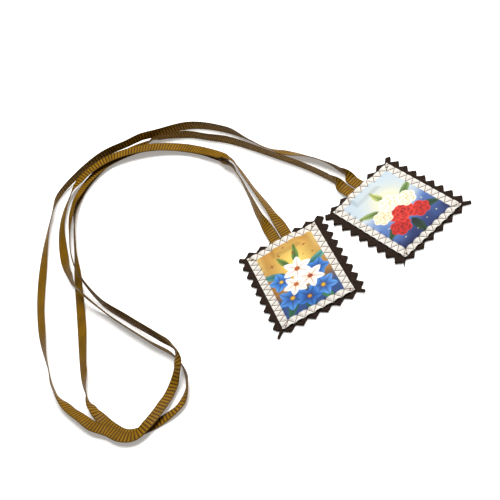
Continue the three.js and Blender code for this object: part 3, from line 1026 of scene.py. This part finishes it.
def add_camera(target):
    """The camera at the photo's angle: over the table, rolled, with a long lens."""
    rise = math.radians(CAMERA_ELEVATION)
    roll = math.radians(CAMERA_ROLL)
    back = Vector((0, -math.cos(rise), math.sin(rise)))
    level = Vector((1, 0, 0))
    upright = back.cross(level)
    right = level * math.cos(roll) + upright * math.sin(roll)
    up = upright * math.cos(roll) - level * math.sin(roll)
    lens = bpy.data.cameras.new("camera")
    lens.lens = CAMERA_LENS
    lens.clip_start = 0.01
    camera = bpy.data.objects.new("camera", lens)
    turned = Matrix((right, up, back)).transposed().to_4x4()
    camera.matrix_world = Matrix.Translation(target + back * CAMERA_DISTANCE) @ turned
    bpy.context.scene.collection.objects.link(camera)
    bpy.context.scene.camera = camera


def add_light(name, target, direction, distance, size, power):
    """A soft square light that faces the part from a direction."""
    lamp = bpy.data.lights.new(name, "AREA")
    lamp.size = size
    lamp.energy = power
    light = bpy.data.objects.new(name, lamp)
    away = Vector(direction).normalized()
    turned = (-away).to_track_quat("-Z", "Y").to_matrix().to_4x4()
    light.matrix_world = Matrix.Translation(target + away * distance) @ turned
    bpy.context.scene.collection.objects.link(light)


class SCAPULAR_OT_stage(bpy.types.Operator):
    """Adds the camera, the pale table and soft studio light"""

    bl_idname = "scapular.add_stage"
    bl_label = "Add Stage"

    def execute(self, context):
        target = Vector((*TABLE_SHIFT, 0))
        add_camera(target)
        shape = bmesh.new()
        bmesh.ops.create_grid(shape, x_segments=1, y_segments=1, size=FLOOR_SIZE)
        floor = bpy.data.objects.new("table", closed_mesh("table", shape))
        floor.data.materials.append(floor_material(context.scene.scapular_colours))
        context.scene.collection.objects.link(floor)
        add_light("key", target, *KEY_LIGHT)
        add_light("fill", target, *FILL_LIGHT)
        world = bpy.data.worlds.new("studio")
        world.use_nodes = True
        sky = world.node_tree.nodes["Background"]
        sky.inputs["Color"].default_value = (1.0, 1.0, 1.0, 1.0)
        sky.inputs["Strength"].default_value = WORLD_STRENGTH
        context.scene.world = world
        context.scene.view_settings.view_transform = "Standard"
        return {"FINISHED"}


class SCAPULAR_OT_ribbons(bpy.types.Operator):
    """Adds the two grosgrain ribbons that join the patches"""

    bl_idname = "scapular.add_ribbons"
    bl_label = "Add Ribbons"

    def execute(self, context):
        scene = context.scene
        material = ribbon_material(scene.scapular_colours, scene.scapular_sizes)
        ribbon_piece("ribbon_left", LEFT_ROUTE, 0, -180, material)
        ribbon_piece("ribbon_right", RIGHT_ROUTE, 1, 0, material)
        return {"FINISHED"}


class SCAPULAR_OT_felts(bpy.types.Operator):
    """Adds the two pinked felt patches"""

    bl_idname = "scapular.add_felts"
    bl_label = "Add Felts"

    def execute(self, context):
        material = felt_material(context.scene.scapular_colours)
        for side, patch in PATCHES.items():
            felt_piece("felt_" + side, patch, material)
        return {"FINISHED"}


class SCAPULAR_OT_panels(bpy.types.Operator):
    """Adds the two printed cloth panels"""

    bl_idname = "scapular.add_panels"
    bl_label = "Add Panels"

    def execute(self, context):
        material = cloth_material(context.scene.scapular_colours)
        panel_piece("panel_front", PATCHES["front"], paint_front, material)
        panel_piece("panel_back", PATCHES["back"], paint_back, material)
        return {"FINISHED"}


class SCAPULAR_OT_stitching(bpy.types.Operator):
    """Adds the brown zigzag stitching round both panels"""

    bl_idname = "scapular.add_stitching"
    bl_label = "Add Stitching"

    def execute(self, context):
        material = thread_material(context.scene.scapular_colours)
        for side, patch in PATCHES.items():
            thread_piece("stitching_" + side, patch, material)
        return {"FINISHED"}


class SCAPULAR_PT_sidebar(bpy.types.Panel):
    """Lists the pieces, in the order in which they are made"""

    bl_label = "Scapular"
    bl_idname = "SCAPULAR_PT_sidebar"
    bl_space_type = "VIEW_3D"
    bl_region_type = "UI"
    bl_category = "Scapular"

    def draw(self, context):
        layout = self.layout
        for group in (context.scene.scapular_sizes, context.scene.scapular_colours):
            column = layout.column(align=True)
            for name in group.__annotations__:
                column.prop(group, name)
        for operator in OPERATORS:
            layout.operator(operator.bl_idname)


OPERATORS = (
    SCAPULAR_OT_stage,
    SCAPULAR_OT_ribbons,
    SCAPULAR_OT_felts,
    SCAPULAR_OT_panels,
    SCAPULAR_OT_stitching,
)
CLASSES = (ScapularSizes, ScapularColours, *OPERATORS, SCAPULAR_PT_sidebar)


def register():
    for item in CLASSES:
        bpy.utils.register_class(item)
    bpy.types.Scene.scapular_sizes = bpy.props.PointerProperty(type=ScapularSizes)
    bpy.types.Scene.scapular_colours = bpy.props.PointerProperty(type=ScapularColours)


def unregister():
    del bpy.types.Scene.scapular_colours
    del bpy.types.Scene.scapular_sizes
    for item in reversed(CLASSES):
        bpy.utils.unregister_class(item)


def main():
    register()
    bpy.ops.scapular.add_stage()
    bpy.ops.scapular.add_ribbons()
    bpy.ops.scapular.add_felts()
    bpy.ops.scapular.add_panels()
    bpy.ops.scapular.add_stitching()


if __name__ == "__main__":
    main()
